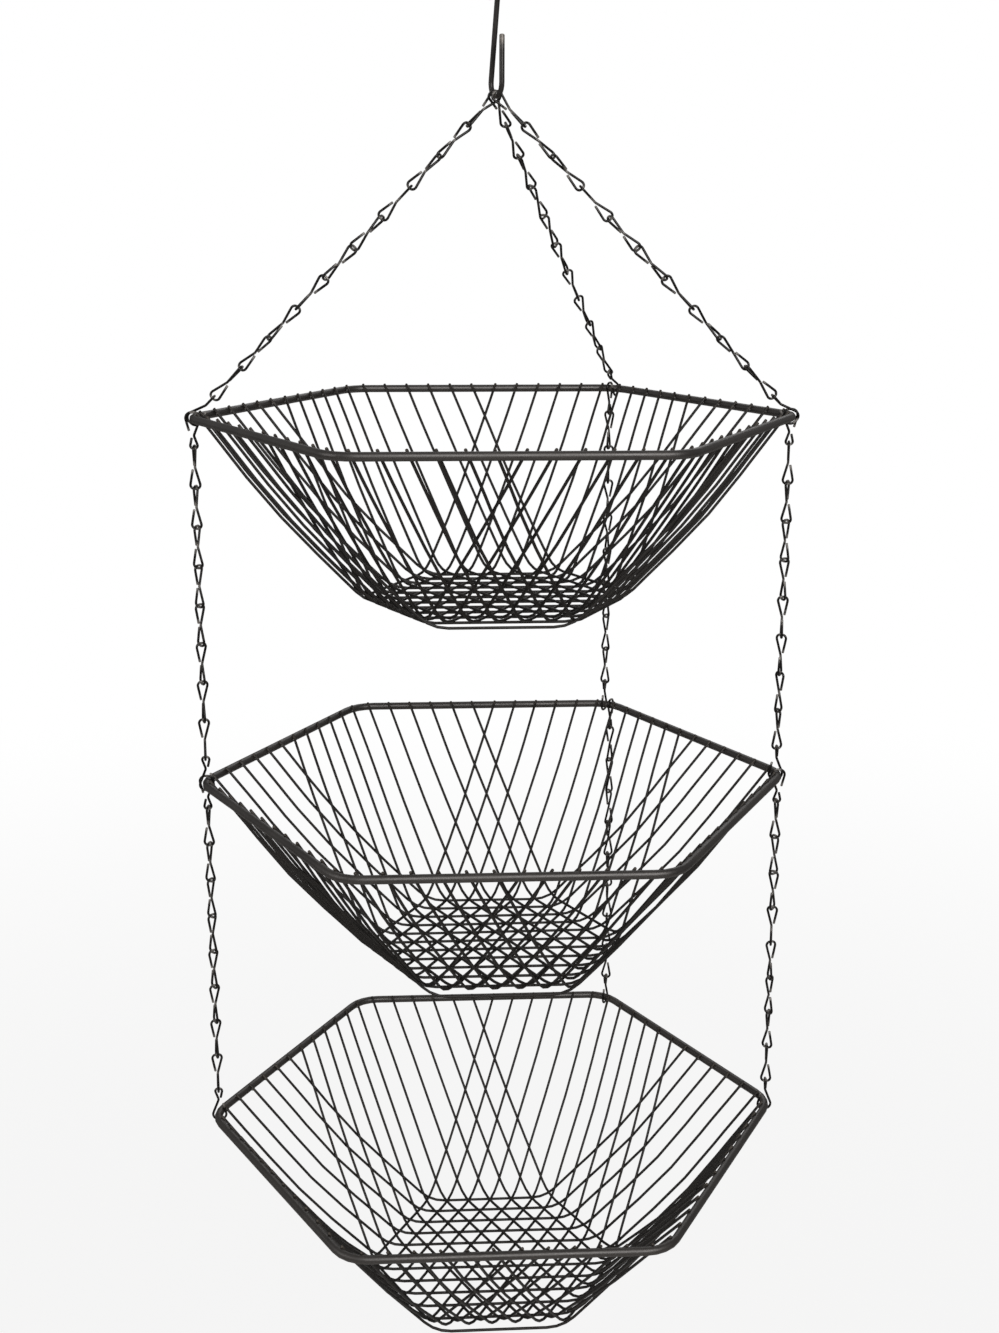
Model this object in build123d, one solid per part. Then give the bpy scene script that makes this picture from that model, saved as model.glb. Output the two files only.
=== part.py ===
from build123d import *
import math
import os

# Hanging basket of three wire bowls on chains.
# Millimetres, +Z up. The origin is the inside top of the upper bend of the S-hook,
# where the hook bears on the ceiling eye. The X axis runs through the left and the right
# corner of the rims, and -Y is the front.

# S-hook
hook_wire = 2.6            # diameter of its wire
hook_height = 76.0         # overall, from outside to outside
hook_bend = 7.3            # half the distance between two legs, wire centre to wire centre
hook_arm = 29.0            # free arm, from the outside of its bend to its tip
hook_turn = 20.0           # degrees between the plane of the hook and the Y axis
hook_bend_share = 0.85     # bend radius as a share of hook_bend

# Chain links, bent from one wire as a figure of eight with its two loops at right angles
link_wire = 1.3
link_pitch = 20.3          # from one bearing point to the next
link_half_width = 3.0      # wire centre, at the corner of a loop before it is rounded
link_bend = 1.5            # rounding of the loop's corners, at the wire centre
link_play = 0.15           # gap between two links at their bearing point
hook_play = 0.15           # gap between the S-hook and the links on it
neck_gap = 0.2             # gap between a link's cut end and the wire that it meets
neck_rise = 1.3            # height of the cut ends above and below the middle of the link
strand_spacing = 2.4       # between the left and the right strand, side by side on the S-hook
rear_strand_climb = 17.0   # degrees by which the rear strand sits up the S-hook's bend
rear_strand_play = 0.5     # gap between the curved bend and the rear strand's first link
top_strand_links = 10      # from the S-hook to the top rim
lower_strand_links = 8     # from one rim to the next

# Open wire hooks that clip the strands to the rims
rim_hook_length = 13.5     # from the rim's wire centre to the chain's bearing point
rim_hook_play = 0.4        # gap between the hook and the rim inside it
eye_half_width = 2.3       # of the small eye at the chain, before it is rounded
eye_height = 6.5           # of the small eye, wire centre to neck
rim_bend_share = 0.9       # bend round the rim as a share of its distance from the rim's centre
eye_bend_share = 0.9       # rounding of the eye as a share of that of a link
hook_offset = 2.0          # of a strand from the middle of its corner, along the rim

# Basket
rim_wire = 4.2
rim_reach = 150.0          # from the middle to the wire centre of a rounded corner
rim_corner = 18.0          # rounding of the rim's corners, at the wire centre
basket_depth = 94.0        # from the rim's wire centre to that of the lowest wires
base_reach = 68.0          # from the middle to a corner of the base, before it is rounded
basket_wire = 1.5
wire_spacing = 10.8
wires_a_side = 6           # wires of one set on each side of the middle
layer_gap = 0.08           # between the three layers of wires at the base
weld_sink = 0.3            # depth to which a wire is welded into the rim
tip_length = 3.4           # of a wire past the middle of the rim
base_bend = 20.0           # bend between the base and the side
side_bulge = 4.5           # of the lowest set of wires, halfway up the side
side_bulge_step = 1.5      # by which the next set bulges less
side_curve_share = 0.84    # of the straight half of a side that its bend takes up

layer_step = basket_wire + layer_gap
rim_sharp = rim_reach + rim_corner * (2.0 / math.sqrt(3.0) - 1.0)
rim_hook_reach = (rim_wire + link_wire) / 2.0 + rim_hook_play
wire_lap = link_wire + link_play
tier_spacing = 2.0 * rim_hook_length + wire_lap + lower_strand_links * link_pitch

hook_axis_low = -(hook_height - 1.5 * hook_wire)
hook_radii = (hook_wire + link_wire) / 2.0
hook_bend_radius = hook_bend * hook_bend_share
link_half = (link_pitch + wire_lap) / 2.0
top_strand_length = top_strand_links * link_pitch + wire_lap - hook_radii - hook_play + rim_hook_length
top_rim_height = hook_axis_low - math.sqrt(top_strand_length ** 2 - rim_reach ** 2)
rim_heights = [top_rim_height - tier * tier_spacing for tier in range(3)]

tiers = ["top", "middle", "bottom"]
corner_angles = {"left": 180.0, "right": 0.0, "rear": 60.0}
hook_side_shares = {"left": -0.22, "right": 0.78}
set_angles = {"cross": 0.0, "right_slant": 60.0, "left_slant": 120.0}


def direction(degrees):
    """Level unit vector at an angle from +X."""
    angle = math.radians(degrees)
    return Vector(math.cos(angle), math.sin(angle), 0.0)


def wire_along(path, diameter):
    """Round wire swept along a path, its section square to the path's start."""
    section = Plane(origin=path @ 0, z_dir=path % 0) * Circle(diameter / 2.0)
    return sweep(section, path=path)


def hook_direction():
    """Level direction in the plane of the S-hook, towards the free arm of its lower bend."""
    return direction(hook_turn - 90.0)


def make_s_hook():
    """S-hook whose two bearing points lie one above the other."""
    along = hook_direction()
    top = hook_wire / 2.0
    arm_drop = hook_arm - hook_wire / 2.0
    outline = [
        (-hook_bend, top - arm_drop),
        (-hook_bend, top),
        (hook_bend, top),
        (-hook_bend, hook_axis_low),
        (hook_bend, hook_axis_low),
        (hook_bend, hook_axis_low + arm_drop),
    ]
    points = [along * across + Vector(0.0, 0.0, height) for across, height in outline]
    return wire_along(FilletPolyline(*points, radius=hook_bend_radius), hook_wire)


def loop_corners(turn, half_width, height):
    """The two outer corners of a loop whose plane is turned about the chain's axis."""
    side = direction(turn)
    up = Vector(0.0, 0.0, height)
    return up + side * half_width, up - side * half_width


def cut_end(turn, half_width, height, neck):
    """Cut end of a loop's wire, just clear of the wire that leaves the neck beside it."""
    lean = half_width / abs(height)
    reach = (link_wire + neck_gap) * math.sqrt(1.0 + lean ** 2) - neck * lean
    rise = math.copysign(neck, height)
    return direction(turn) * reach + Vector(0.0, 0.0, rise)


def make_link(twist):
    """Figure-of-eight link, its upper loop across X and its lower loop turned by twist."""
    top_first, top_second = loop_corners(0.0, link_half_width, link_half)
    low_first, low_second = loop_corners(twist, link_half_width, -link_half)
    points = [
        cut_end(0.0, link_half_width, link_half, neck_rise),
        top_first,
        top_second,
        Vector(0.0, 0.0, 0.0),
        low_first,
        low_second,
        cut_end(twist + 180.0, link_half_width, -link_half, neck_rise),
    ]
    return wire_along(FilletPolyline(*points, radius=link_bend), link_wire)


def make_rim_hook(eye_turn):
    """Open wire hook: a loop round the rim at the origin and a small eye for the chain above."""
    neck = rim_hook_length + wire_lap - eye_height
    slope = math.tan(math.asin(rim_hook_reach / neck))
    low = -rim_hook_reach
    half_width = (neck - low) * slope
    eye_first, eye_second = loop_corners(eye_turn, eye_half_width, eye_height)
    lift = Vector(0.0, 0.0, neck)
    open_drop = 2.0 * neck_rise
    open_end = Vector(-open_drop * slope - link_wire, 0.0, neck - open_drop)
    points = [
        open_end,
        Vector(-half_width, 0.0, low),
        Vector(half_width, 0.0, low),
        lift,
        lift + eye_first,
        lift + eye_second,
        lift + cut_end(eye_turn + 180.0, eye_half_width, eye_height, neck_rise),
    ]
    rim_bend = rim_hook_reach * rim_bend_share
    eye_bend = link_bend * eye_bend_share
    bends = [rim_bend, rim_bend, link_bend, eye_bend, eye_bend]
    return wire_along(FilletPolyline(*points, radius=bends), link_wire)


def strand_frame(angle, start, end):
    """Unit vectors up along a strand, and outwards square to it in its corner's radial plane."""
    up = (start - end).normalized()
    tangent = direction(angle + 90.0)
    return up, tangent.cross(up).normalized()


def strand_links(angle, start, end, count, first_link=None):
    """Equal links between two bearing points, hung one in the other, from the top down."""
    up, outward = strand_frame(angle, start, end)
    pitch = (start - end).length / count
    first = start + up * (link_half - pitch)
    link = make_link(90.0)
    links = [Plane(origin=first, x_dir=outward, z_dir=up) * link] if first_link is None else [first_link]
    for number in range(1, count):
        centre = first - up * (pitch * number)
        links.append(Plane(origin=centre, x_dir=outward, z_dir=up) * link)
    return links


def corner_point(strand, height, offset):
    """Wire centre of the rim at a strand's corner, moved along the rim by an offset."""
    angle = corner_angles[strand]
    return direction(angle) * rim_reach + direction(angle + 90.0) * offset + Vector(0.0, 0.0, height)


def hook_point(strand):
    """Where a strand sits on the S-hook's lower bend, the wire's direction there, and the gap."""
    along = hook_direction()
    if strand in hook_side_shares:
        shift = strand_spacing * hook_side_shares[strand]
        return along * shift + Vector(0.0, 0.0, hook_axis_low), along, hook_play
    climb = math.radians(rear_strand_climb)
    shift = hook_bend_radius - hook_bend - hook_bend_radius * math.sin(climb)
    height = hook_axis_low + hook_bend_radius * (1.0 - math.cos(climb))
    tangent = along * math.cos(climb) - Vector(0.0, 0.0, math.sin(climb))
    return along * shift + Vector(0.0, 0.0, height), tangent, rear_strand_play


def make_top_strand(strand):
    """Slanted strand from the S-hook to the top rim, and the hook at its lower end."""
    angle = corner_angles[strand]
    seat, tangent, play = hook_point(strand)
    rim_point = corner_point(strand, rim_heights[0], -hook_offset)
    up, outward = strand_frame(angle, seat, rim_point)
    facing = (tangent - up * tangent.dot(up)).normalized()
    rise = (hook_radii + play) / math.sqrt(1.0 - tangent.dot(up) ** 2)
    start = seat + up * (rise - wire_lap)
    end = rim_point + up * rim_hook_length
    across = facing.cross(up)
    low_side = up.cross(outward)
    twist = math.degrees(math.atan2(across.cross(low_side).dot(up), across.dot(low_side)))
    centre = seat + up * (rise - link_half)
    first_link = Plane(origin=centre, x_dir=across, z_dir=up) * make_link(twist)
    links = strand_links(angle, start, end, top_strand_links, first_link)
    hook = Plane(origin=rim_point, x_dir=outward, z_dir=up) * make_rim_hook(0.0)
    return links, hook


def make_lower_strand(strand, tier):
    """Upright strand between two rims: upper hook, chain and lower hook."""
    angle = corner_angles[strand]
    offset = hook_offset if tier == 1 else -hook_offset
    high = corner_point(strand, rim_heights[tier - 1], offset)
    low = corner_point(strand, rim_heights[tier], offset)
    up, outward = strand_frame(angle, high, low)
    start = high - up * (rim_hook_length + wire_lap)
    end = low + up * rim_hook_length
    upper_hook = Plane(origin=high, x_dir=outward * -1.0, z_dir=up * -1.0) * make_rim_hook(90.0)
    lower_hook = Plane(origin=low, x_dir=outward, z_dir=up) * make_rim_hook(0.0)
    return {
        "upper_hook": [upper_hook],
        "chain": strand_links(angle, start, end, lower_strand_links),
        "lower_hook": [lower_hook],
    }


def make_rim():
    """Hexagonal ring of thick wire with rounded corners, its wire centre at height zero."""
    points = [direction(60.0 * number) * rim_sharp for number in range(6)]
    path = FilletPolyline(*points, radius=rim_corner, close=True)
    return wire_along(path, rim_wire)


def rim_crossing(offset):
    """Where a wire at an offset from the middle crosses the rim's wire centre."""
    if offset < rim_corner / 2.0:
        corner_centre = rim_sharp - 2.0 * rim_corner / math.sqrt(3.0)
        reach = corner_centre + math.sqrt(rim_corner ** 2 - offset ** 2)
        sine = math.sqrt(1.0 - (offset / rim_corner) ** 2)
        return reach, sine
    return rim_sharp - offset / math.sqrt(3.0), math.sqrt(3.0) / 2.0


def make_basket_wire(offset, layer):
    """One wire of a set: tip at the rim, side, base, side and tip, in the XZ plane."""
    crossing, sine = rim_crossing(offset)
    base = base_reach - offset / math.sqrt(3.0)
    low = Vector(base, 0.0, -basket_depth)
    slope = math.atan2(basket_depth, crossing - base)
    seat = (rim_wire + basket_wire) / 2.0 - weld_sink
    seat_along = seat * math.hypot(math.sin(slope), sine * math.cos(slope)) / (math.sin(slope) * sine)
    inward = layer_step * (1.0 - math.cos(slope)) / math.sin(slope)
    low = low + Vector(-inward * layer, 0.0, layer_step * layer)
    high = Vector(crossing - seat_along, 0.0, 0.0)
    rise = (high - low).normalized()
    outward = Vector(rise.Z, 0.0, -rise.X)
    bulge = side_bulge - side_bulge_step * layer
    middle = (high + low) * 0.5 + outward * bulge
    tip = high + (high - middle).normalized() * tip_length
    half_side = (high - low).length / 2.0
    side_turn = 2.0 * math.atan2(bulge, half_side)
    side_curve = side_curve_share * half_side / 2.0 / math.tan(side_turn / 2.0)
    right = [low, middle, tip]
    left = [Vector(-point.X, 0.0, point.Z) for point in reversed(right)]
    path = FilletPolyline(*left, *right, radius=[side_curve, base_bend, base_bend, side_curve])
    return wire_along(path, basket_wire)


def make_wire_set(angle, layer):
    """Twelve parallel wires of one direction, each set on its own layer."""
    wires = []
    for number in range(wires_a_side):
        offset = wire_spacing * (number + 0.5)
        wire = make_basket_wire(offset, layer)
        wires.append(Rot(0.0, 0.0, angle) * Pos(0.0, offset, 0.0) * wire)
        wires.append(Rot(0.0, 0.0, angle) * Pos(0.0, -offset, 0.0) * wire)
    return wires


def make_basket():
    """Rim and its three sets of wires, at height zero."""
    pieces = {"rim": [make_rim()]}
    for layer, (name, angle) in enumerate(set_angles.items()):
        pieces[name + "_wires"] = make_wire_set(angle, layer)
    return pieces


def collect_nodes():
    """All nodes of the object by name, each a list of separate solids."""
    nodes = {"s_hook": [make_s_hook()]}
    for strand in corner_angles:
        links, hook = make_top_strand(strand)
        nodes["top_" + strand + "_chain"] = links
        nodes["top_" + strand + "_lower_hook"] = [hook]
    for tier in (1, 2):
        for strand in corner_angles:
            for name, solids in make_lower_strand(strand, tier).items():
                nodes[tiers[tier] + "_" + strand + "_" + name] = solids
    basket = make_basket()
    for tier, height in enumerate(rim_heights):
        for name, solids in basket.items():
            nodes[tiers[tier] + "_basket_" + name] = [Pos(0.0, 0.0, height) * solid for solid in solids]
    return nodes


def main():
    os.makedirs("parts", exist_ok=True)
    for name, solids in collect_nodes().items():
        shape = solids[0] if len(solids) == 1 else Compound(children=solids)
        export_step(shape, os.path.join("parts", name + ".step"))
    print("rim heights", [round(height, 2) for height in rim_heights])
    print("tier spacing", round(tier_spacing, 3), "hook axis", round(hook_axis_low, 2))


main()
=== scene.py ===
# %% [markdown]
# A hanging basket of three wire bowls. On the real object everything is bent wire: a hook at the
# top, chains of small links, and bowls welded from a thick rim and thin wires. So this lesson has
# one main idea: a wire is a ring of points, pushed forward on the straight runs and spun round
# where the wire turns, just as a maker bends it in a jig.

# %% Load the fixed frame
import math

import bpy
from mathutils import Matrix, Quaternion, Vector


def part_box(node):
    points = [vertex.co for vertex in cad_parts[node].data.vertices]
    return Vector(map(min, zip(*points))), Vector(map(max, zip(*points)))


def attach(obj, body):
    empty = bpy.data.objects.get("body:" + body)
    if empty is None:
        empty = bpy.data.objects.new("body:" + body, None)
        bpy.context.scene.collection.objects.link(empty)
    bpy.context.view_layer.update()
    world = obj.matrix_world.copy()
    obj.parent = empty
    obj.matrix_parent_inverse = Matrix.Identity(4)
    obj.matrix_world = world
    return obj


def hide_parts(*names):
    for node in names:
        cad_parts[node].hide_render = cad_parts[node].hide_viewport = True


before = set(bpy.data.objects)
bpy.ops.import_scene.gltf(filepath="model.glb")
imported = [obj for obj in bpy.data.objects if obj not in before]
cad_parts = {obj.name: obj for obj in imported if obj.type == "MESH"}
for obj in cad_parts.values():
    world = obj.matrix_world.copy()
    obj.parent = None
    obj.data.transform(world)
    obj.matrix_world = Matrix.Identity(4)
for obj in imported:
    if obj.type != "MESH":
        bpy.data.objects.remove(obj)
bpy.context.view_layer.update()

# %% [markdown]
# The sizes are those of the solid model, in metres; only the corners of the links are a little
# rounder. A helper for level directions comes first, because the hook, the chains and the rims
# are all laid out by an angle about the upright axis.

# %% Sizes of the wire and the layout
MM = 0.001
HOOK_WIRE = 2.6 * MM
LINK_WIRE = 1.3 * MM
RIM_WIRE = 4.2 * MM
BASKET_WIRE = 1.5 * MM
RIM_REACH = 150.0 * MM
RIM_CORNER = 18.0 * MM
LINK_PITCH = 20.3 * MM
RIM_HOOK_LENGTH = 13.5 * MM
WIRE_LAP = 1.45 * MM
HOOK_OFFSET = 2.0 * MM
LOWER_STRAND_LINKS = 8
TOP_STRAND_LINKS = 10
TIERS = ["top", "middle", "bottom"]
CORNERS = {"left": 180.0, "right": 0.0, "rear": 60.0}
RIM_SHARP = RIM_REACH + RIM_CORNER * (2.0 / math.sqrt(3.0) - 1.0)


def direction(degrees):
    """Level unit vector at an angle from +X."""
    angle = math.radians(degrees)
    return Vector((math.cos(angle), math.sin(angle), 0.0))


def rim_height(tier):
    """Height of the wire centre of a tier's rim, read from the solid model."""
    low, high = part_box(tier + "_basket_rim")
    return (low[2] + high[2]) / 2.0


RIM_HEIGHTS = {tier: rim_height(tier) for tier in TIERS}
print("rim heights", {tier: round(height, 4) for tier, height in RIM_HEIGHTS.items()})

# %% [markdown]
# The camera stands where the photographer stood: close to the object, a little above the top
# bowl's rim and looking down. Its place was worked out from the corners of the three rims. The
# photograph was cut from a taller one, so its middle row isn't the lens's: a small shift says so.

# %% Camera
WIDTH, HEIGHT = 999, 1333
FOCAL_PX = 1680.0
CENTRE_ROW = 566.5
CAMERA_PLACE = Vector((-0.0439, -0.8385, -0.1215))
YAW, PITCH, ROLL = 3.16, 12.27, 0.16


def aim(yaw, pitch, roll):
    """Turn of a camera that looks along +Y, turned to the right, down and then rolled."""
    look = Quaternion((1.0, 0.0, 0.0), math.radians(90.0 - pitch))
    turn = Quaternion((0.0, 0.0, 1.0), math.radians(-yaw))
    return turn @ look @ Quaternion((0.0, 0.0, 1.0), math.radians(roll))


bpy.ops.object.select_all(action="DESELECT")
bpy.ops.object.camera_add(location=CAMERA_PLACE)
camera = bpy.context.object
camera.name = "photo_camera"
camera.rotation_euler = aim(YAW, PITCH, ROLL).to_euler()
camera.data.sensor_width = 36.0
camera.data.lens = FOCAL_PX / HEIGHT * camera.data.sensor_width
camera.data.shift_y = (CENTRE_ROW - HEIGHT / 2.0) / HEIGHT
camera.data.clip_start = 0.01
camera.data.clip_end = 60.0
bpy.context.scene.camera = camera
print("lens", round(camera.data.lens, 2), "mm")

# %% [markdown]
# A material is a small network of nodes. Written as plain sums it stays readable: this class
# wraps a node's output, so that adding or multiplying two of them adds the Math node for us. One
# function makes every other node.

# %% Helper for writing materials as sums


class Socket:
    """One output of a node, which adds Math nodes when it is used in a sum."""

    def __init__(self, tree, output):
        self.tree = tree
        self.output = output

    def maths(self, operation, *values):
        settings = {"operation": operation}
        return add_node(self.tree, "ShaderNodeMath", settings, dict(enumerate(values)))

    def __add__(self, other):
        return self.maths("ADD", self, other)

    def __radd__(self, other):
        return self.maths("ADD", other, self)

    def __sub__(self, other):
        return self.maths("SUBTRACT", self, other)

    def __rsub__(self, other):
        return self.maths("SUBTRACT", other, self)

    def __mul__(self, other):
        return self.maths("MULTIPLY", self, other)

    def __rmul__(self, other):
        return self.maths("MULTIPLY", other, self)

    def clamp(self):
        return self.maths("MINIMUM", self.maths("MAXIMUM", self, 0.0), 1.0)

    def ramp(self, low, high):
        """0 below low, 1 above high, and smooth between them."""
        settings = {"interpolation_type": "SMOOTHSTEP"}
        inputs = {0: self, 1: low, 2: high, 3: 0.0, 4: 1.0}
        return add_node(self.tree, "ShaderNodeMapRange", settings, inputs)


def add_node(tree, kind, settings=None, inputs=None, output=0):
    """Adds a node, sets it up, fills or links its inputs, and returns one of its outputs."""
    node = tree.nodes.new(kind)
    for name, value in (settings or {}).items():
        if name == "stops":
            elements = node.color_ramp.elements
            while len(elements) < len(value):
                elements.new(0.5)
            for element, (place, colour) in zip(elements, value):
                element.position = place
                element.color = colour
        else:
            setattr(node, name, value)
    for name, value in (inputs or {}).items():
        if isinstance(value, Socket):
            tree.links.new(value.output, node.inputs[name])
        else:
            node.inputs[name].default_value = value
    return Socket(tree, node.outputs[output])


def new_material(name):
    """An empty material, its node tree, and its Principled shader."""
    material = bpy.data.materials.new(name)
    material.use_nodes = True
    tree = material.node_tree
    return material, tree, tree.nodes["Principled BSDF"]


print("material helper ready")

# %% [markdown]
# The bowls are dipped in a dark, warm grey-black satin paint. Paint on wire pools a little, so
# the colour and the gloss drift along it, fine orange peel breaks up the highlight, and the cut
# ends and the places that rub are paler. Each mesh carries its worn places as an attribute. The
# thin wires look darker than the rim, so their finish is a darker copy of the same paint: painted
# shade, since thin wires catch less of the light. The chains are nearly black.

# %% Painted wire
CLOUD_SCALE = 45.0
GRAIN_SCALE = 900.0
SPECK_SCALE = 420.0
PEEL_HEIGHT = 0.2 * MM
WARM_GLOSS = (1.0, 0.96, 0.93, 1.0)


def colour_mix(tree, factor, first, second):
    """Blend of two colours, either of them plain or from a node."""
    settings = {"data_type": "RGBA", "blend_type": "MIX"}
    return add_node(tree, "ShaderNodeMix", settings, {0: factor, 6: first, 7: second}, output=2)


def noise(tree, place, scale, detail=3.0, roughness=0.55):
    """Soft cloudy noise from 0 to 1 at a scale in features per metre."""
    inputs = {"Vector": place, "Scale": scale, "Detail": detail, "Roughness": roughness}
    return add_node(tree, "ShaderNodeTexNoise", {}, inputs)


def wire_finish(name, base, pooled, bare, gloss, metal, shine, peel):
    """Painted or blackened wire: two shades of its coat, and the metal bared where it wears."""
    material, tree, shader = new_material(name)
    shader.inputs["Specular IOR Level"].default_value = shine
    shader.inputs["Specular Tint"].default_value = WARM_GLOSS
    place = add_node(tree, "ShaderNodeTexCoord", output=3)
    worn = add_node(tree, "ShaderNodeAttribute", {"attribute_name": "worn"}, output=2)
    cloud = noise(tree, place, CLOUD_SCALE).ramp(0.35, 0.65)
    grain = noise(tree, place, GRAIN_SCALE, 2.0)
    speck = noise(tree, place, SPECK_SCALE, 4.0, 0.7)
    coat = colour_mix(tree, cloud, pooled, base)
    rubbed = (worn * 1.3 + (speck - 0.62) * 2.2).clamp() * worn.ramp(0.02, 0.3)
    chipped = (speck.ramp(0.74, 0.78) * cloud * 0.6).clamp()
    bared = (rubbed + chipped).clamp()
    colour = colour_mix(tree, bared, coat, bare)
    rough = gloss + cloud * 0.09 + (grain - 0.5) * 0.12 + bared * 0.08
    height = grain * 0.6 + speck * 0.4 - bared * 0.5
    relief = {"Strength": peel, "Distance": PEEL_HEIGHT, "Height": height}
    bump = add_node(tree, "ShaderNodeBump", {}, relief)
    tree.links.new(colour.output, shader.inputs["Base Color"])
    tree.links.new(rough.clamp().output, shader.inputs["Roughness"])
    tree.links.new((metal + bared * 0.35).clamp().output, shader.inputs["Metallic"])
    tree.links.new(bump.output, shader.inputs["Normal"])
    return material


basket_paint = wire_finish(
    "basket_paint",
    base=(0.019, 0.016, 0.014, 1.0),
    pooled=(0.011, 0.009, 0.008, 1.0),
    bare=(0.12, 0.10, 0.085, 1.0),
    gloss=0.42,
    metal=0.05,
    shine=0.95,
    peel=0.25,
)
# The same paint as basket_paint with a darker base colour: painted shade for the thin wires.
thin_wire_paint = wire_finish(
    "thin_wire_paint",
    base=(0.013, 0.011, 0.0095, 1.0),
    pooled=(0.007, 0.006, 0.0055, 1.0),
    bare=(0.10, 0.085, 0.07, 1.0),
    gloss=0.46,
    metal=0.0,
    shine=0.35,
    peel=0.25,
)
chain_finish = wire_finish(
    "chain_finish",
    base=(0.006, 0.005, 0.0045, 1.0),
    pooled=(0.003, 0.0026, 0.0024, 1.0),
    bare=(0.30, 0.28, 0.26, 1.0),
    gloss=0.24,
    metal=0.03,
    shine=0.32,
    peel=0.12,
)
hook_finish = wire_finish(
    "hook_finish",
    base=(0.022, 0.019, 0.018, 1.0),
    pooled=(0.011, 0.010, 0.0095, 1.0),
    bare=(0.30, 0.27, 0.24, 1.0),
    gloss=0.34,
    metal=0.1,
    shine=0.5,
    peel=0.2,
)
print("finishes", basket_paint.name, thin_wire_paint.name, chain_finish.name, hook_finish.name)

# %% [markdown]
# Now the jig. A wire's route is given by its sharp corners and the size of each bend. The ring
# of points at its start is extruded along a straight run in short steps, and spun about the
# centre of a bend. The cut ends are closed with two small steps inwards, like a filed tip.

# %% Bend a wire from a ring of points
RUN_STEP = 9.0 * MM
BEND_STEP = math.radians(16.0)
SMOOTH_ANGLE = math.radians(50.0)
TIP_STEPS = ((0.30, 0.80), (0.14, 0.55 / 0.80))


def push(step, steps=1):
    """Extrudes the selected ring along a straight run."""
    for number in range(steps):
        bpy.ops.mesh.extrude_region_move(TRANSFORM_OT_translate={"value": step / steps})


def close_tip(centre, heading, radius):
    """Rounds off the selected ring and fills it."""
    for reach, share in TIP_STEPS:
        push(heading * radius * reach)
        centre = centre + heading * radius * reach
        bpy.ops.transform.resize(value=(share, share, share), center_override=centre)
    bpy.ops.mesh.edge_face_add()


def choose_ring(mesh_object, first, count):
    """Selects one ring of points by its place in the mesh's list."""
    bpy.ops.mesh.select_all(action="DESELECT")
    bpy.ops.object.mode_set(mode="OBJECT")
    for vertex in mesh_object.data.vertices[first:first + count]:
        vertex.select = True
    bpy.ops.object.mode_set(mode="EDIT")


def bend_wire(name, points, bends, thickness, sides=10, run_step=RUN_STEP, closed=False):
    """A wire along its corner points, with a bend of a given radius at each inner corner."""
    radius = thickness / 2.0
    heading = (points[1] - points[0]).normalized()
    turn = heading.to_track_quat("Z", "Y").to_euler()
    bpy.ops.object.select_all(action="DESELECT")
    place = points[0].copy()
    bpy.ops.mesh.primitive_circle_add(
        vertices=sides, radius=radius, location=place, rotation=turn
    )
    wire = bpy.context.object
    wire.name = name
    bpy.ops.object.transform_apply(location=True, rotation=True, scale=True)
    bpy.ops.object.mode_set(mode="EDIT")
    bpy.ops.mesh.select_all(action="SELECT")
    for number, bend in enumerate(bends):
        corner = points[number + 1]
        following = (points[number + 2] - corner).normalized()
        angle = heading.angle(following)
        reach = bend * math.tan(angle / 2.0)
        run = (corner - place) - heading * reach
        push(run, max(1, math.ceil(run.length / run_step)))
        axis = heading.cross(following).normalized()
        start = corner - heading * reach
        centre = start + axis.cross(heading) * bend
        steps = max(2, math.ceil(angle / BEND_STEP))
        bpy.ops.mesh.spin(steps=steps, angle=-angle, center=centre, axis=axis)
        place = corner + following * reach
        heading = following
    run = points[-1] - place
    push(run, max(1, math.ceil(run.length / run_step)))
    if closed:
        bpy.ops.mesh.select_all(action="SELECT")
        bpy.ops.mesh.remove_doubles(threshold=radius * 0.02)
    else:
        close_tip(points[-1], heading, radius)
        choose_ring(wire, 0, sides)
        close_tip(points[0], (points[0] - points[1]).normalized(), radius)
    bpy.ops.mesh.select_all(action="SELECT")
    bpy.ops.mesh.normals_make_consistent(inside=False)
    bpy.ops.object.mode_set(mode="OBJECT")
    bpy.ops.object.shade_smooth_by_angle(angle=SMOOTH_ANGLE)
    return wire


trial_points = [Vector((0, 0, 0)), Vector((0.03, 0, 0)), Vector((0.03, 0.03, 0))]
trial = bend_wire("trial", trial_points, [0.005], LINK_WIRE)
tip = max(vertex.co.y for vertex in trial.data.vertices)
print("trial wire", len(trial.data.vertices), "points, reaches", round(tip, 5))
bpy.data.objects.remove(trial, do_unlink=True)

# %% [markdown]
# Worn places are stored on the mesh as one number for each point, from 0 to 1, near the places
# named. The finish reads it, so the same material shows bright rubbed bearings on a link and
# dull paint elsewhere.

# %% Mark worn places, join and finish pieces


def mark_worn(mesh_object, places, reach):
    """Stores how close each point is to the nearest worn place."""
    mesh = mesh_object.data
    layer = mesh.attributes.new("worn", "FLOAT", "POINT")
    for vertex in mesh.vertices:
        gap = min((vertex.co - place).length for place in places)
        layer.data[vertex.index].value = max(0.0, 1.0 - gap / reach)


def placed_copy(mesh_object, matrix):
    """A copy with its own mesh, its place in the mesh."""
    mesh = mesh_object.data.copy()
    mesh.transform(matrix)
    copy = bpy.data.objects.new(mesh_object.name + "_copy", mesh)
    bpy.context.scene.collection.objects.link(copy)
    return copy


def join_pieces(name, pieces):
    """Joins several meshes into one named piece."""
    bpy.ops.object.select_all(action="DESELECT")
    for piece in pieces:
        piece.select_set(True)
    bpy.context.view_layer.objects.active = pieces[0]
    if len(pieces) > 1:
        bpy.ops.object.join()
    joined = bpy.context.object
    joined.name = name
    return joined


def finish_piece(piece, material, body, nodes):
    """Gives a piece its material and its body, and hides the solids it stands for."""
    piece.data.materials.clear()
    piece.data.materials.append(material)
    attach(piece, body)
    for node in nodes:
        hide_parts(node)
    return piece


print("piece helpers ready")

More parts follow.
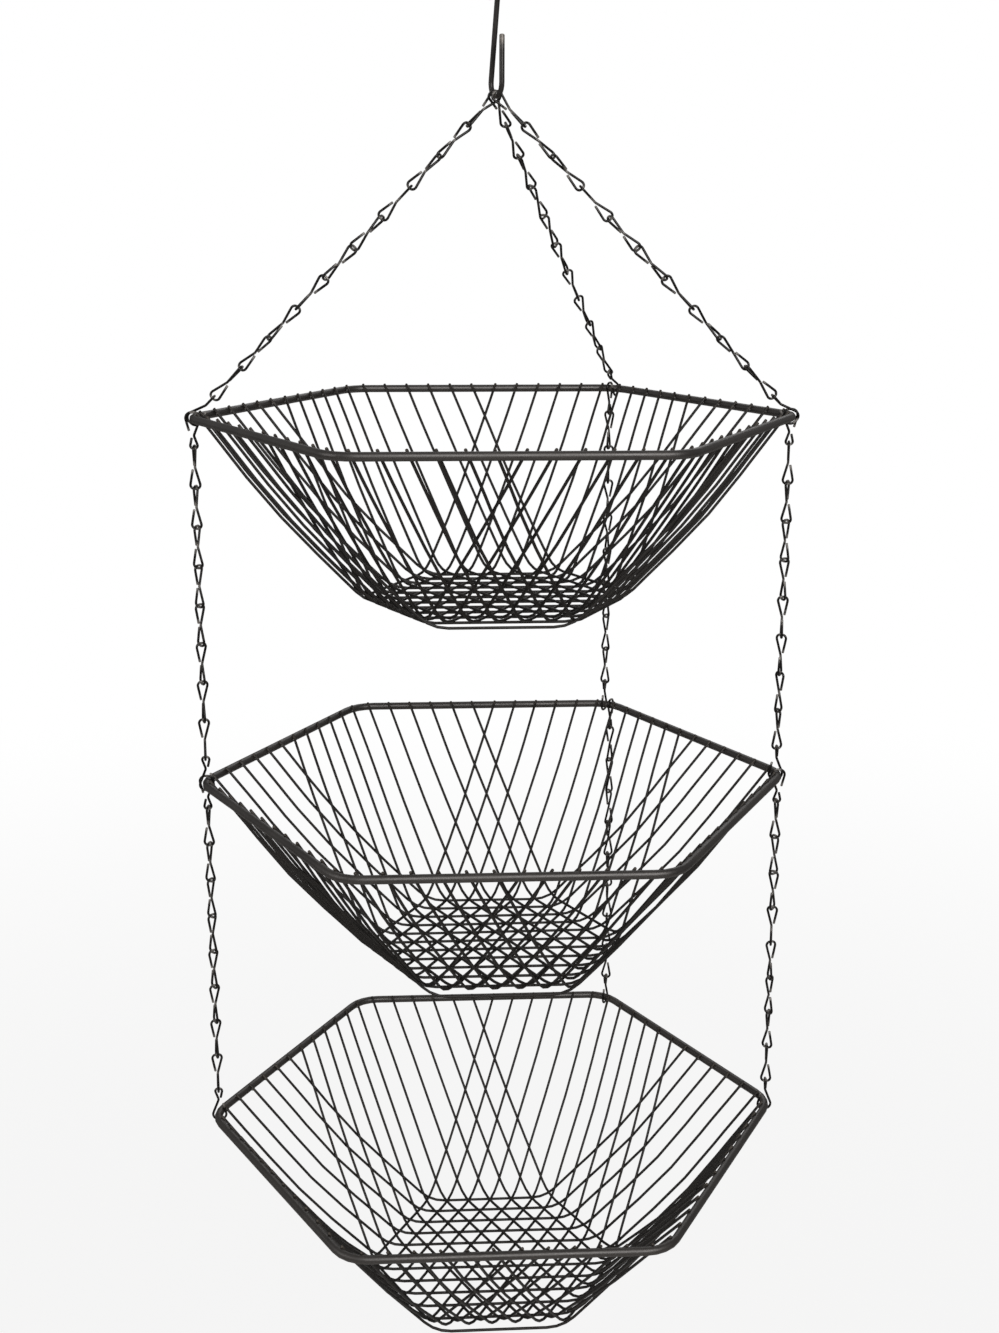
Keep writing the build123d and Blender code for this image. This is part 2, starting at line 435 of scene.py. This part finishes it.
# %% [markdown]
# The S-hook is one bent wire in an upright plane that is turned a little from the viewer. Its
# two bends are tight, and its two free arms reach back past the middle, so nothing jumps off it.

# %% S-hook
HOOK_HEIGHT = 76.0 * MM
HOOK_BEND = 7.3 * MM
HOOK_ARM = 29.0 * MM
HOOK_TURN = 20.0
HOOK_LOW = -(HOOK_HEIGHT - 1.5 * HOOK_WIRE)
HOOK_BEND_RADIUS = HOOK_BEND * 0.85
HOOK_SIDES = 20
HOOK_WORN_REACH = 5.0 * MM


def make_s_hook():
    """The S-hook's wire, from its upper arm to its lower one."""
    along = direction(HOOK_TURN - 90.0)
    top = HOOK_WIRE / 2.0
    drop = HOOK_ARM - HOOK_WIRE / 2.0
    outline = [
        (-HOOK_BEND, top - drop),
        (-HOOK_BEND, top),
        (HOOK_BEND, top),
        (-HOOK_BEND, HOOK_LOW),
        (HOOK_BEND, HOOK_LOW),
        (HOOK_BEND, HOOK_LOW + drop),
    ]
    points = [along * across + Vector((0.0, 0.0, height)) for across, height in outline]
    wire = bend_wire("s_hook_wire", points, [HOOK_BEND_RADIUS] * 4, HOOK_WIRE, HOOK_SIDES)
    bearings = [Vector((0, 0, 0)), Vector((0, 0, HOOK_LOW))]
    mark_worn(wire, bearings + [points[0], points[-1]], HOOK_WORN_REACH)
    return wire


s_hook = finish_piece(make_s_hook(), hook_finish, "s_hook", ["s_hook"])
print("s-hook", len(s_hook.data.polygons), "faces")

# %% [markdown]
# A chain link is one wire bent into a figure of eight. Its two loops stand at right angles, so
# that the chain runs straight, and the cut ends close against the neck. Links are bent once, and
# then copied down the strand, each with its own small twist as hand-hung links have.

# %% One link
LINK_HALF = (LINK_PITCH + WIRE_LAP) / 2.0
LINK_HALF_WIDTH = 3.0 * MM
LINK_BEND = 2.0 * MM
NECK_GAP = 0.2 * MM
NECK_RISE = 1.3 * MM
LINK_STEP = 4.0 * MM
LINK_WORN_REACH = 2.6 * MM


def loop_corners(turn, half_width, height):
    """The two outer corners of a loop whose plane is turned about the chain's axis."""
    side = direction(turn) * half_width
    up = Vector((0.0, 0.0, height))
    return up + side, up - side


def cut_end(turn, half_width, height):
    """Cut end of a loop's wire, just clear of the wire that leaves the neck."""
    lean = half_width / abs(height)
    reach = (LINK_WIRE + NECK_GAP) * math.sqrt(1.0 + lean ** 2) - NECK_RISE * lean
    return direction(turn) * reach + Vector((0.0, 0.0, math.copysign(NECK_RISE, height)))


def make_link(name, twist):
    """Figure-of-eight link, its upper loop across X and its lower loop turned by twist."""
    top_first, top_second = loop_corners(0.0, LINK_HALF_WIDTH, LINK_HALF)
    low_first, low_second = loop_corners(twist, LINK_HALF_WIDTH, -LINK_HALF)
    points = [
        cut_end(0.0, LINK_HALF_WIDTH, LINK_HALF),
        top_first,
        top_second,
        Vector((0.0, 0.0, 0.0)),
        low_first,
        low_second,
        cut_end(twist + 180.0, LINK_HALF_WIDTH, -LINK_HALF),
    ]
    link = bend_wire(name, points, [LINK_BEND] * 5, LINK_WIRE, run_step=LINK_STEP)
    ends = [Vector((0, 0, LINK_HALF)), Vector((0, 0, -LINK_HALF)), points[0], points[-1]]
    mark_worn(link, ends, LINK_WORN_REACH)
    return link


link_pattern = make_link("link_pattern", 90.0)
print("link", len(link_pattern.data.polygons), "faces")

# %% [markdown]
# Each strand is laid out like the solid one: a bearing point at either end, and the links at an
# even pitch between them. A real chain is seldom hung without a twist, so each strand winds about
# its own line, evenly from its first link to its last, and its loops are seen flat, edge on and
# all angles between. These are the turns at the two ends of each strand, in degrees.

# %% Layout of a strand
STRAND_TURNS = {
    "top": {"left": (0.0, 270.0), "right": (0.0, -270.0), "rear": (0.0, 180.0)},
    "middle": {"left": (90.0, 0.0), "right": (90.0, -90.0), "rear": (-90.0, 0.0)},
    "bottom": {"left": (90.0, 0.0), "right": (-90.0, 90.0), "rear": (90.0, 0.0)},
}
LINK_ROCK = 5.0


def place_matrix(origin, x_axis, z_axis):
    """Matrix that puts a shape at a point with its X and Z along two directions."""
    y_axis = z_axis.cross(x_axis)
    turn = Matrix((x_axis, y_axis, z_axis)).transposed().to_4x4()
    return Matrix.Translation(origin) @ turn


def strand_frame(angle, start, end):
    """Unit vectors up along a strand, and outwards square to it."""
    up = (start - end).normalized()
    return up, direction(angle + 90.0).cross(up).normalized()


def corner_point(corner, height, offset):
    """Wire centre of a rim at a corner, moved along the rim."""
    angle = CORNERS[corner]
    place = direction(angle) * RIM_REACH + direction(angle + 90.0) * offset
    return place + Vector((0.0, 0.0, height))


def small_turn(seed, most):
    """A repeatable small angle in radians, so that no two links hang quite alike."""
    return math.radians(most) * math.sin(seed * 12.9898 + 4.1414)


def link_turn(turns, number, count):
    """Turn in radians of one link of a strand that winds evenly between its end turns."""
    return math.radians(turns[0] + (turns[1] - turns[0]) * (number + 0.5) / count)


def hang_links(angle, start, end, count, seed, turns, first=0):
    """Links between two bearing points, each in the one above, on a strand with these end turns."""
    up, outward = strand_frame(angle, start, end)
    pitch = (start - end).length / count
    links = []
    for number in range(first, count):
        centre = start + up * (LINK_HALF - pitch * (number + 1))
        turn = link_turn(turns, number, count) + small_turn(seed + number, LINK_ROCK)
        facing = Quaternion(up, turn) @ outward
        links.append(placed_copy(link_pattern, place_matrix(centre, facing, up)))
    return links


print("strand layout ready")

# %% [markdown]
# The strands end in open wire hooks: a rounded triangle that clips round the rim, and a small
# eye for the last link. One is bent with its eye in the hook's plane, one with it turned.

# %% One rim hook
RIM_HOOK_PLAY = 0.4 * MM
RIM_HOOK_REACH = (RIM_WIRE + LINK_WIRE) / 2.0 + RIM_HOOK_PLAY
EYE_HALF_WIDTH = 2.3 * MM
EYE_HEIGHT = 6.5 * MM
RIM_BEND = RIM_HOOK_REACH * 0.9
EYE_BEND = LINK_BEND * 0.75


def make_rim_hook(name, eye_turn):
    """Open hook with its rim loop round the origin and its eye above."""
    neck = RIM_HOOK_LENGTH + WIRE_LAP - EYE_HEIGHT
    slope = math.tan(math.asin(RIM_HOOK_REACH / neck))
    low = -RIM_HOOK_REACH
    half_width = (neck - low) * slope
    eye_first, eye_second = loop_corners(eye_turn, EYE_HALF_WIDTH, EYE_HEIGHT)
    lift = Vector((0.0, 0.0, neck))
    drop = 2.0 * NECK_RISE
    points = [
        Vector((-drop * slope - LINK_WIRE, 0.0, neck - drop)),
        Vector((-half_width, 0.0, low)),
        Vector((half_width, 0.0, low)),
        lift,
        lift + eye_first,
        lift + eye_second,
        lift + cut_end(eye_turn + 180.0, EYE_HALF_WIDTH, EYE_HEIGHT),
    ]
    bends = [RIM_BEND, RIM_BEND, LINK_BEND, EYE_BEND, EYE_BEND]
    hook = bend_wire(name, points, bends, LINK_WIRE, run_step=LINK_STEP)
    bearings = [Vector((0, 0, low)), lift + Vector((0, 0, EYE_HEIGHT))]
    mark_worn(hook, bearings + [points[0]], LINK_WORN_REACH)
    return hook


hook_pattern = make_rim_hook("hook_pattern", 0.0)
turned_hook_pattern = make_rim_hook("turned_hook_pattern", 90.0)


def pick_hook(turned):
    """The hook whose eye takes the strand's last link, turned by a quarter or not."""
    return turned_hook_pattern if turned else hook_pattern


print("rim hook", len(hook_pattern.data.polygons), "faces")

# %% [markdown]
# The three top strands lean in to the S-hook. Their first links sit side by side in its lower
# bend, so each of those is bent with its own twist: the upper loop faces the S-hook's wire, and
# the lower loop faces the next link. The rear one sits a hair to the side, so that it clears the
# S-hook when the basket swings.

# %% Top strands
STRAND_SPACING = 2.4 * MM
HOOK_SIDE_SHARES = {"left": -0.22, "right": 0.78}
HOOK_PLAY = 0.15 * MM
REAR_CLIMB = math.radians(17.0)
REAR_PLAY = 0.5 * MM
REAR_EASE = Vector((0.13, 0.02, 0.08)) * MM
HOOK_RADII = (HOOK_WIRE + LINK_WIRE) / 2.0


def hook_seat(corner):
    """Where a strand sits on the S-hook, the wire's direction there, and the play."""
    along = direction(HOOK_TURN - 90.0)
    if corner in HOOK_SIDE_SHARES:
        place = along * (STRAND_SPACING * HOOK_SIDE_SHARES[corner]) + Vector((0.0, 0.0, HOOK_LOW))
        return place, along, HOOK_PLAY
    shift = HOOK_BEND_RADIUS - HOOK_BEND - HOOK_BEND_RADIUS * math.sin(REAR_CLIMB)
    height = HOOK_LOW + HOOK_BEND_RADIUS * (1.0 - math.cos(REAR_CLIMB))
    tangent = along * math.cos(REAR_CLIMB) - Vector((0.0, 0.0, math.sin(REAR_CLIMB)))
    return along * shift + Vector((0.0, 0.0, height)) + REAR_EASE, tangent, REAR_PLAY


def make_top_strand(corner, seed):
    """Links from the S-hook to the top rim, and the hook that clips them to it."""
    angle = CORNERS[corner]
    seat, tangent, play = hook_seat(corner)
    rim_point = corner_point(corner, RIM_HEIGHTS["top"], -HOOK_OFFSET)
    up, outward = strand_frame(angle, seat, rim_point)
    facing = (tangent - up * tangent.dot(up)).normalized()
    rise = (HOOK_RADII + play) / math.sqrt(1.0 - tangent.dot(up) ** 2)
    start = seat + up * (rise - WIRE_LAP)
    end = rim_point + up * RIM_HOOK_LENGTH
    across = facing.cross(up)
    turns = STRAND_TURNS["top"][corner]
    low_side = Quaternion(up, link_turn(turns, 0, TOP_STRAND_LINKS)) @ up.cross(outward)
    twist = math.degrees(math.atan2(across.cross(low_side).dot(up), across.dot(low_side)))
    first = make_link("first_link_" + corner, twist)
    first.data.transform(place_matrix(seat + up * (rise - LINK_HALF), across, up))
    links = [first] + hang_links(angle, start, end, TOP_STRAND_LINKS, seed, turns, first=1)
    hook = placed_copy(pick_hook(turns[1] % 180.0 != 0.0), place_matrix(rim_point, outward, up))
    strand = join_pieces("top_" + corner + "_links", links)
    return strand, join_pieces("top_" + corner + "_clip", [hook])


for number, corner in enumerate(CORNERS):
    strand, clip = make_top_strand(corner, 3.7 * number)
    finish_piece(strand, chain_finish, "top_tier", ["top_" + corner + "_chain"])
    finish_piece(clip, chain_finish, "top_tier", ["top_" + corner + "_lower_hook"])
    print(strand.name, len(strand.data.polygons), "faces")

# %% [markdown]
# The lower strands hang upright from rim to rim. Each is made in the pieces that move by
# themselves when a bowl sways: upper hook, chain and lower hook. The eye of a hook is open
# towards the link in it, so where the strand starts with a quarter turn, its hook has one too.

# %% Lower strands


def make_lower_strand(tier, corner, seed):
    """The three moving pieces of one upright strand."""
    angle = CORNERS[corner]
    above = TIERS[TIERS.index(tier) - 1]
    offset = HOOK_OFFSET if tier == "middle" else -HOOK_OFFSET
    high = corner_point(corner, RIM_HEIGHTS[above], offset)
    low = corner_point(corner, RIM_HEIGHTS[tier], offset)
    up, outward = strand_frame(angle, high, low)
    start = high - up * (RIM_HOOK_LENGTH + WIRE_LAP)
    end = low + up * RIM_HOOK_LENGTH
    turns = STRAND_TURNS[tier][corner]
    upper_pattern = pick_hook(turns[0] % 180.0 == 0.0)
    lower_pattern = pick_hook(turns[1] % 180.0 != 0.0)
    return {
        "upper_hook": [placed_copy(upper_pattern, place_matrix(high, outward * -1.0, up * -1.0))],
        "chain": hang_links(angle, start, end, LOWER_STRAND_LINKS, seed, turns),
        "lower_hook": [placed_copy(lower_pattern, place_matrix(low, outward, up))],
    }


for tier_number, tier in enumerate(TIERS[1:]):
    for number, corner in enumerate(CORNERS):
        seed = 11.3 + 2.9 * number + 7.1 * tier_number
        for part, pieces in make_lower_strand(tier, corner, seed).items():
            node = tier + "_" + corner + "_" + part
            piece = join_pieces(node + "_wire", pieces)
            finish_piece(piece, chain_finish, node, [node])
    print(tier, "strands hung")

# %% [markdown]
# The rim of a bowl is one thick wire bent at six corners and butt-welded where its ends meet.
# The weld is a low bead, filed but still seen, in the middle of a rear side.

# %% Rim
RIM_STEP = 24.0 * MM
RIM_SIDES = 20
RIM_WELD_SHARE = 0.38
RIM_WELD_RADIUS = RIM_WIRE * 0.52
RIM_WELD_LENGTH = RIM_WIRE * 0.62


def make_rim():
    """The hexagonal rim at height zero, with its weld."""
    corners = [direction(60.0 * number) * RIM_SHARP for number in range(6)]
    start = corners[1] * (1.0 - RIM_WELD_SHARE) + corners[2] * RIM_WELD_SHARE
    points = [start] + corners[2:] + corners[:2] + [start.copy()]
    bends = [RIM_CORNER] * 6
    rim = bend_wire("rim_pattern", points, bends, RIM_WIRE, RIM_SIDES, RIM_STEP, closed=True)
    heading = (corners[2] - corners[1]).normalized()
    bead = make_bead("rim_weld_pattern", start, heading, RIM_WELD_RADIUS, RIM_WELD_LENGTH)
    return rim, bead


def make_bead(name, place, heading, radius, length):
    """A lump of weld: a ball, stretched along the wire and roughened."""
    bpy.ops.object.select_all(action="DESELECT")
    bpy.ops.mesh.primitive_uv_sphere_add(segments=12, ring_count=8, radius=1.0)
    bead = bpy.context.object
    bead.name = name
    bpy.ops.object.mode_set(mode="EDIT")
    bpy.ops.mesh.select_all(action="SELECT")
    bpy.ops.transform.resize(value=(radius, radius, length), center_override=(0.0, 0.0, 0.0))
    bpy.ops.mesh.normals_make_consistent(inside=False)
    bpy.ops.object.mode_set(mode="OBJECT")
    for vertex in bead.data.vertices:
        ripple = math.sin(vertex.co.x / radius * 5.0 + 1.0) * math.cos(vertex.co.z / length * 4.0)
        vertex.co *= 1.0 + 0.05 * ripple
    turn = heading.to_track_quat("Z", "Y").to_matrix().to_4x4()
    bead.data.transform(Matrix.Translation(place) @ turn)
    bpy.ops.object.shade_smooth()
    return bead


rim_pattern, rim_weld_pattern = make_rim()
print("rim", len(rim_pattern.data.polygons), "faces")

# %% [markdown]
# Thirty-six thin wires make a bowl, in three directions at sixty degrees. Each runs down one
# side, across the base and up the other side, and each direction lies a wire's thickness above
# the last. The route is worked out from where the wire meets the rim.

# %% Route of one thin wire
BASKET_DEPTH = 94.0 * MM
BASE_REACH = 68.0 * MM
WIRE_SPACING = 10.8 * MM
WIRES_A_SIDE = 6
LAYER_STEP = 1.58 * MM
TIP_LENGTH = 3.4 * MM
BASE_BEND = 20.0 * MM
SIDE_BULGES = [4.5 * MM, 3.0 * MM, 1.5 * MM]
SIDE_CURVE_SHARE = 0.84
WELD_SINK = 0.3 * MM
SET_ANGLES = {"cross": 0.0, "right_slant": 60.0, "left_slant": 120.0}


def rim_crossing(offset):
    """Where a wire at an offset crosses the rim, and how squarely."""
    if offset < RIM_CORNER / 2.0:
        centre = RIM_SHARP - 2.0 * RIM_CORNER / math.sqrt(3.0)
        reach = centre + math.sqrt(RIM_CORNER ** 2 - offset ** 2)
        return reach, math.sqrt(1.0 - (offset / RIM_CORNER) ** 2)
    return RIM_SHARP - offset / math.sqrt(3.0), math.sqrt(3.0) / 2.0


def basket_wire_route(offset, layer):
    """Corner points and bends of one wire in the XZ plane, and where it is welded."""
    crossing, sine = rim_crossing(offset)
    base = BASE_REACH - offset / math.sqrt(3.0)
    slope = math.atan2(BASKET_DEPTH, crossing - base)
    seat = (RIM_WIRE + BASKET_WIRE) / 2.0 - WELD_SINK
    lean = math.hypot(math.sin(slope), sine * math.cos(slope))
    seat_along = seat * lean / (math.sin(slope) * sine)
    inward = LAYER_STEP * (1.0 - math.cos(slope)) / math.sin(slope)
    low = Vector((base - inward * layer, 0.0, LAYER_STEP * layer - BASKET_DEPTH))
    high = Vector((crossing - seat_along, 0.0, 0.0))
    rise = (high - low).normalized()
    outward = Vector((rise.z, 0.0, -rise.x))
    bulge = SIDE_BULGES[layer]
    middle = (high + low) * 0.5 + outward * bulge
    tip = high + (high - middle).normalized() * TIP_LENGTH
    half_side = (high - low).length / 2.0
    side_turn = 2.0 * math.atan2(bulge, half_side)
    side_curve = SIDE_CURVE_SHARE * half_side / 2.0 / math.tan(side_turn / 2.0)
    right = [low, middle, tip]
    left = [Vector((-point.x, 0.0, point.z)) for point in reversed(right)]
    return left + right, [side_curve, BASE_BEND, BASE_BEND, side_curve], high


first_weld = basket_wire_route(WIRE_SPACING / 2.0, 0)[2]
print("first wire meets the rim at", [round(value, 4) for value in first_weld])

# %% [markdown]
# Hand-welded wires are never quite straight. Once a wire is bent, each of its points is moved by
# less than half a millimetre with smooth waves that depend only on its place, so that wires that
# touch move together and the welds hold.

# %% Bend and copy the thin wires
WANDER = 0.45 * MM
WANDER_FADE = 25.0 * MM
THIN_SIDES = 8
THIN_STEP = 12.0 * MM
TIP_WORN_REACH = 1.3 * MM


def wander(place, seed):
    """Small smooth shift of a wire at a place below the rim."""
    fade = min(1.0, max(0.0, -place.z / WANDER_FADE))
    across = math.sin(place.x * 61.0 + place.y * 23.0 + seed)
    across *= math.cos(place.z * 47.0 + seed * 2.0)
    along = math.sin(place.y * 57.0 - place.x * 19.0 + seed * 1.7) * math.cos(place.z * 39.0)
    return Vector((across, along, 0.0)) * WANDER * fade


def make_wire_set(name, angle, layer):
    """The twelve wires of one direction, and the places where they are welded."""
    turn = Matrix.Rotation(math.radians(angle), 4, "Z")
    wires, welds = [], []
    for number in range(WIRES_A_SIDE):
        offset = WIRE_SPACING * (number + 0.5)
        points, bends, high = basket_wire_route(offset, layer)
        wire = bend_wire(name, points, bends, BASKET_WIRE, THIN_SIDES, THIN_STEP)
        mark_worn(wire, [points[0], points[-1]], TIP_WORN_REACH)
        for side in (1.0, -1.0):
            place = turn @ Matrix.Translation((0.0, offset * side, 0.0))
            wires.append(placed_copy(wire, place))
            for end in (high, Vector((-high.x, 0.0, high.z))):
                welds.append(place @ end)
        bpy.data.objects.remove(wire, do_unlink=True)
    return join_pieces(name, wires), welds


wire_sets, weld_places = {}, []
for layer, (set_name, angle) in enumerate(SET_ANGLES.items()):
    wire_sets[set_name], welds = make_wire_set(set_name + "_pattern", angle, layer)
    weld_places += welds
    print(set_name, len(wire_sets[set_name].data.polygons), "faces", len(welds), "welds")

# %% [markdown]
# Every wire end is fixed to the inner face of the rim with a small weld, which leaves a nugget
# in the corner between the two wires. One nugget is shaped and copied to each place.

# %% Welds
NUGGET_RADIUS = 0.85 * MM
NUGGET_LENGTH = 1.25 * MM


def rim_normal(place):
    """Level direction from the middle to the side of the rim that a place is on."""
    angle = math.degrees(math.atan2(place.y, place.x))
    return direction(60.0 * math.floor(angle / 60.0) + 30.0)


def make_welds(places):
    """All nuggets of one bowl as one piece at height zero."""
    nuggets = []
    for number, place in enumerate(places):
        normal = rim_normal(place)
        heading = Vector((-normal.y, normal.x, 0.0))
        seat = place + normal * (BASKET_WIRE * 0.45)
        size = 1.0 + 0.18 * math.sin(number * 2.4)
        nugget = make_bead("nugget", seat, heading, NUGGET_RADIUS * size, NUGGET_LENGTH * size)
        nuggets.append(nugget)
    return join_pieces("weld_pattern", nuggets)


weld_pattern = make_welds(weld_places)
print("welds", len(weld_places), "nuggets,", len(weld_pattern.data.polygons), "faces")

# %% [markdown]
# The three bowls are the same. Each gets a copy of the rim, the wires and the welds at its own
# height, and each bowl's wander starts elsewhere, so that no two bowls are bent quite alike.

# %% Three bowls
BOWL_BODIES = {"top": "top_tier", "middle": "middle_basket", "bottom": "bottom_basket"}
RUB_REACH = 4.0 * MM


def hook_rubs():
    """Places on a rim where hooks rub the paint."""
    offsets = (-HOOK_OFFSET, HOOK_OFFSET)
    return [corner_point(corner, 0.0, offset) for corner in CORNERS for offset in offsets]


def make_bowl(tier, seed):
    """Rim, thin wires and welds of one tier."""
    lift = Matrix.Translation((0.0, 0.0, RIM_HEIGHTS[tier]))
    body = BOWL_BODIES[tier]
    rim = placed_copy(rim_pattern, Matrix())
    mark_worn(rim, hook_rubs(), RUB_REACH)
    rim_weld = placed_copy(rim_weld_pattern, Matrix())
    for piece in (rim, rim_weld):
        piece.data.transform(lift)
    rim = join_pieces(tier + "_rim_wire", [rim])
    finish_piece(rim, basket_paint, body, [tier + "_basket_rim"])
    welds = join_pieces(tier + "_rim_welds", [placed_copy(weld_pattern, lift), rim_weld])
    finish_piece(welds, basket_paint, body, ())
    for set_name, pattern in wire_sets.items():
        copy = placed_copy(pattern, Matrix())
        for vertex in copy.data.vertices:
            vertex.co += wander(vertex.co, seed)
        copy.data.transform(lift)
        piece = join_pieces(tier + "_" + set_name + "_wires_bent", [copy])
        node = tier + "_basket_" + set_name + "_wires"
        # The thin wires take the darker copy of the paint, which is painted shade.
        finish_piece(piece, thin_wire_paint, body, [node])
    print(tier, "bowl done")


for number, tier in enumerate(TIERS):
    make_bowl(tier, 1.3 + 2.1 * number)

# %% Clear the patterns away
patterns = [link_pattern, hook_pattern, turned_hook_pattern, rim_pattern]
patterns += [rim_weld_pattern, weld_pattern] + list(wire_sets.values())
for pattern in patterns:
    bpy.data.objects.remove(pattern, do_unlink=True)
print("patterns removed")

# %% [markdown]
# The floor is a wide pale sheet below the object, and the world is a soft white. Both look
# plain white to the camera, while the object is lit at a plain level. Near the object the floor
# keeps a faint shadow, and further off it fades into the white behind.

# %% Floor and world
FLOOR_HEIGHT = -1.25
FLOOR_SIZE = 24.0
FLOOR_GLOW = 0.87
FADE_START, FADE_END = 1.3, 3.2
WORLD_LEVEL = 0.17
WORLD_GLOSS = 0.06
bpy.ops.object.select_all(action="DESELECT")
bpy.ops.mesh.primitive_plane_add(size=FLOOR_SIZE, location=(0.0, 0.0, FLOOR_HEIGHT))
floor = bpy.context.object
floor.name = "floor"
bpy.ops.object.transform_apply(location=True, rotation=True, scale=True)
floor_finish, tree, shader = new_material("pale_floor")
shader.inputs["Base Color"].default_value = (0.62, 0.60, 0.58, 1.0)
shader.inputs["Roughness"].default_value = 0.75
rays = tree.nodes.new("ShaderNodeLightPath")
glow = tree.nodes.new("ShaderNodeEmission")
glow.inputs["Strength"].default_value = 1.0
blend = tree.nodes.new("ShaderNodeMixShader")
place = add_node(tree, "ShaderNodeTexCoord", output=3)
reach = add_node(tree, "ShaderNodeVectorMath", {"operation": "LENGTH"}, {0: place}, output=1)
glowing = FLOOR_GLOW + reach.ramp(FADE_START, FADE_END) * (1.0 - FLOOR_GLOW)
seen = Socket(tree, rays.outputs["Is Camera Ray"]) * glowing
tree.links.new(seen.output, blend.inputs[0])
tree.links.new(shader.outputs[0], blend.inputs[1])
tree.links.new(glow.outputs[0], blend.inputs[2])
tree.links.new(blend.outputs[0], tree.nodes["Material Output"].inputs["Surface"])
floor.data.materials.append(floor_finish)

world = bpy.data.worlds.new("studio")
bpy.context.scene.world = world
world.use_nodes = True
tree = world.node_tree
back = tree.nodes["Background"]
rays = tree.nodes.new("ShaderNodeLightPath")
seen = Socket(tree, rays.outputs["Is Camera Ray"])
glossy = Socket(tree, rays.outputs["Is Glossy Ray"])
level = WORLD_LEVEL + (seen + glossy * WORLD_GLOSS).clamp() * (1.0 - WORLD_LEVEL)
tree.links.new(level.output, back.inputs["Strength"])
back.inputs["Color"].default_value = (1.0, 1.0, 1.0, 1.0)
print("floor at", FLOOR_HEIGHT)

# %% [markdown]
# Soft studio light: one large lamp above and in front, a smaller one from the left that draws
# the pale line along the wires, and a weak one from behind that lifts the far side.

# %% Lamps
LAMP_TARGET = Vector((0.0, 0.0, -0.35))


def add_lamp(name, place, size, power):
    """A square area lamp that looks at the middle of the object."""
    bpy.ops.object.light_add(type="AREA", location=place)
    lamp = bpy.context.object
    lamp.name = name
    lamp.data.shape = "SQUARE"
    lamp.data.size = size
    lamp.data.energy = power
    aimed = (LAMP_TARGET - Vector(place)).to_track_quat("-Z", "Y")
    lamp.rotation_euler = aimed.to_euler()


add_lamp("key_lamp", (0.45, -1.9, 0.7), 1.3, 42.0)
add_lamp("side_lamp", (-1.8, -0.6, 0.4), 1.0, 9.0)
add_lamp("rear_lamp", (0.4, 1.8, 0.9), 1.4, 7.0)
bpy.context.scene.view_settings.view_transform = "Standard"
print("lamps placed")
